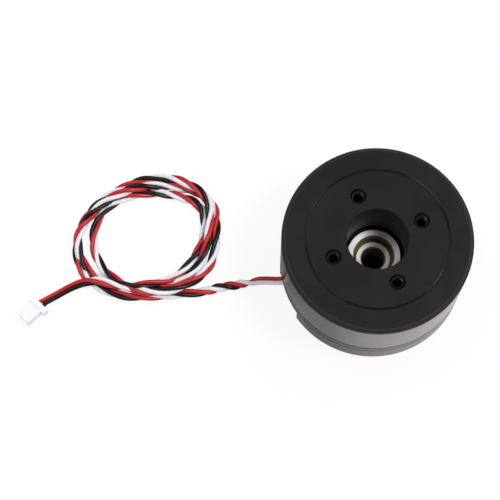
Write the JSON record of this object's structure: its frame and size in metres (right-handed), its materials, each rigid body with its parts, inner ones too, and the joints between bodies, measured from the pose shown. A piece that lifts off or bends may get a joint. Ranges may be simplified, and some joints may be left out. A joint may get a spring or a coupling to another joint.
{
  "type": "brushless motor",
  "caption": "Low flat outrunner motor with a wide rotor bore, a tapped rotor face, a fixed hollow shaft and a twisted lead that ends in a small plug.",
  "frame": {"origin": "centre of the mounting face under the base cup, on the spin axis", "axes": "+Z along the spin axis, out of the rotor's face; -X towards the lead"},
  "size_m": [0.1118, 0.0491, 0.027],
  "materials": {
    "black_anodised": "satin black anodised",
    "black_anodised_base": "satin black anodised",
    "natural_aluminium": "fine turned",
    "ground_steel": "ground",
    "bearing_shield": "pressed, lightly oiled",
    "cage_brass": "pressed",
    "screw_steel": "black oxide",
    "flux_steel": "zinc plated",
    "magnet_nickel": "nickel plated",
    "lamination_steel": "varnished",
    "insulator_board": "matt black",
    "enamelled_copper": "glossy enamel",
    "shrink_sleeve": "matt",
    "wire_jacket": "smooth, in red, black and white",
    "plug_nylon": "moulded, slightly milky",
    "contact_bronze": "tin plated"
  },
  "bodies": {
    "stator": {"base_cup": "black_anodised_base", "stator_frame": "black_anodised_base", "frame_screws": "screw_steel", "hollow_shaft": "ground_steel", "shaft_spacer": "ground_steel", "upper_bearing_inner_ring": "ground_steel", "lower_bearing_inner_ring": "ground_steel", "stator_core": "lamination_steel", "insulator_lower": "insulator_board", "insulator_upper": "insulator_board", "winding_phase_a": "enamelled_copper", "winding_phase_b": "enamelled_copper", "winding_phase_c": "enamelled_copper", "phase_leads": "enamelled_copper", "splice_sleeves": "shrink_sleeve", "cable_lead": "wire_jacket", "cable_coil": "wire_jacket", "cable_tail": "wire_jacket", "plug_housing": "plug_nylon", "plug_contacts": "contact_bronze"},
    "rotor": {"rotor_bell": "black_anodised", "flux_ring": "flux_steel", "magnets_north": "magnet_nickel", "magnets_south": "magnet_nickel", "bearing_retainer": "natural_aluminium", "preload_washer": "ground_steel", "upper_bearing_outer_ring": "ground_steel", "lower_bearing_outer_ring": "ground_steel", "upper_bearing_shields": "bearing_shield", "lower_bearing_shields": "bearing_shield"},
    "upper_cage": {"upper_ball_cage": "cage_brass", "upper_bearing_balls": "ground_steel"},
    "lower_cage": {"lower_ball_cage": "cage_brass", "lower_bearing_balls": "ground_steel"}
  },
  "joints": [
    {"name": "rotor_spin", "type": "hinge", "parent": "stator", "child": "rotor", "pos_m": [0, 0, 0.0135], "axis": [0, 0, 1], "continuous": true},
    {"name": "upper_cage_spin", "type": "hinge", "parent": "stator", "child": "upper_cage", "pos_m": [0, 0, 0.0076], "axis": [0, 0, 1], "continuous": true},
    {"name": "lower_cage_spin", "type": "hinge", "parent": "stator", "child": "lower_cage", "pos_m": [0, 0, 0.0044], "axis": [0, 0, 1], "continuous": true}
  ],
  "couplings": [
    {"joint": "upper_cage_spin", "follows": "rotor_spin", "ratio": 0.59},
    {"joint": "lower_cage_spin", "follows": "rotor_spin", "ratio": 0.59}
  ]
}
